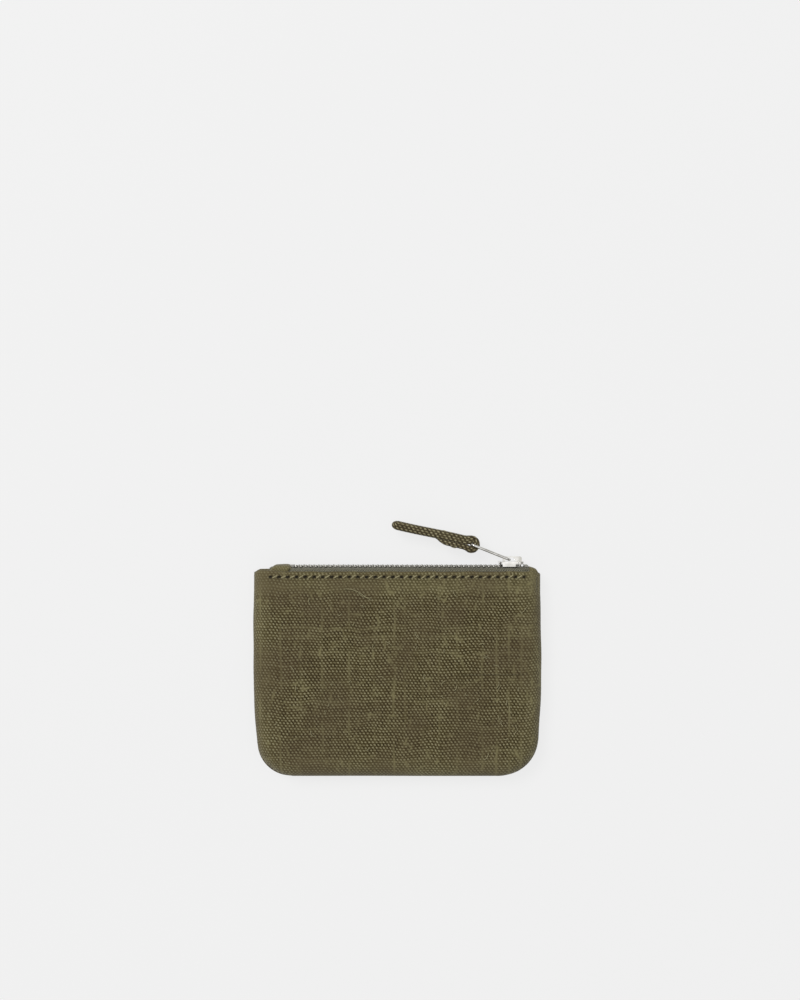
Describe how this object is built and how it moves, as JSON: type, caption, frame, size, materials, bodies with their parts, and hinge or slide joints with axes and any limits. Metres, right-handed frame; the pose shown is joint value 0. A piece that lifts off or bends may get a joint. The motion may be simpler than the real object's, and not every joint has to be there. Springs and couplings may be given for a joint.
{
  "type": "zippered pouch",
  "caption": "Small flat canvas pouch with rounded bottom corners, a metal zip along its mouth and a folded canvas pull on a wire ring.",
  "frame": {"origin": "centre of the flat rest face on the back of the pouch", "axes": "+X along the zip, from the open end's tab to the closed slider; +Y from the bottom seam to the zip; +Z out of the front panel"},
  "size_m": [0.12, 0.1074, 0.013],
  "materials": {
    "canvas": "slubby olive plain-weave canvas",
    "strap_canvas": "folded olive canvas strip",
    "binding": "thin olive binding tape",
    "thread": "matte olive sewing thread",
    "zip_tape": "grey-green woven zip tape",
    "tooth_metal": "darkened metal with bright worn tips",
    "nickel": "bright nickel plating"
  },
  "bodies": {
    "pouch": {"front_panel": "canvas", "back_panel": "canvas", "seam_binding": "binding", "seam_stitches": "thread", "front_topstitch": "thread", "back_topstitch": "thread", "front_zip_tape": "zip_tape", "back_zip_tape": "zip_tape", "front_tape_cord": "zip_tape", "back_tape_cord": "zip_tape", "front_teeth": "tooth_metal", "back_teeth": "tooth_metal", "front_top_stop": "tooth_metal", "back_top_stop": "tooth_metal", "bottom_stop": "tooth_metal", "left_end_tab": "canvas", "right_end_tab": "canvas"},
    "slider": {"slider_body": "nickel", "slider_crown": "nickel"},
    "ring": {"pull_ring": "nickel"},
    "strap": {"pull_strap": "strap_canvas", "pull_strap_stitching": "thread"}
  },
  "joints": [
    {"name": "zip_slide", "type": "slide", "parent": "pouch", "child": "slider", "axis": [-1, 0, 0], "range_m": [0, 0.085], "deforming": ["front_teeth", "back_teeth"]},
    {"name": "pull_swing", "type": "hinge", "parent": "slider", "child": "ring", "pos_m": [0.0466, 0.04735, 0.0065], "axis": [0, 0, -1], "range_deg": [-12, 130]},
    {"name": "strap_swing", "type": "hinge", "parent": "ring", "child": "strap", "pos_m": [0.0308, 0.05364, 0.0065], "axis": [0, 0, -1], "range_deg": [-4, 40]}
  ]
}
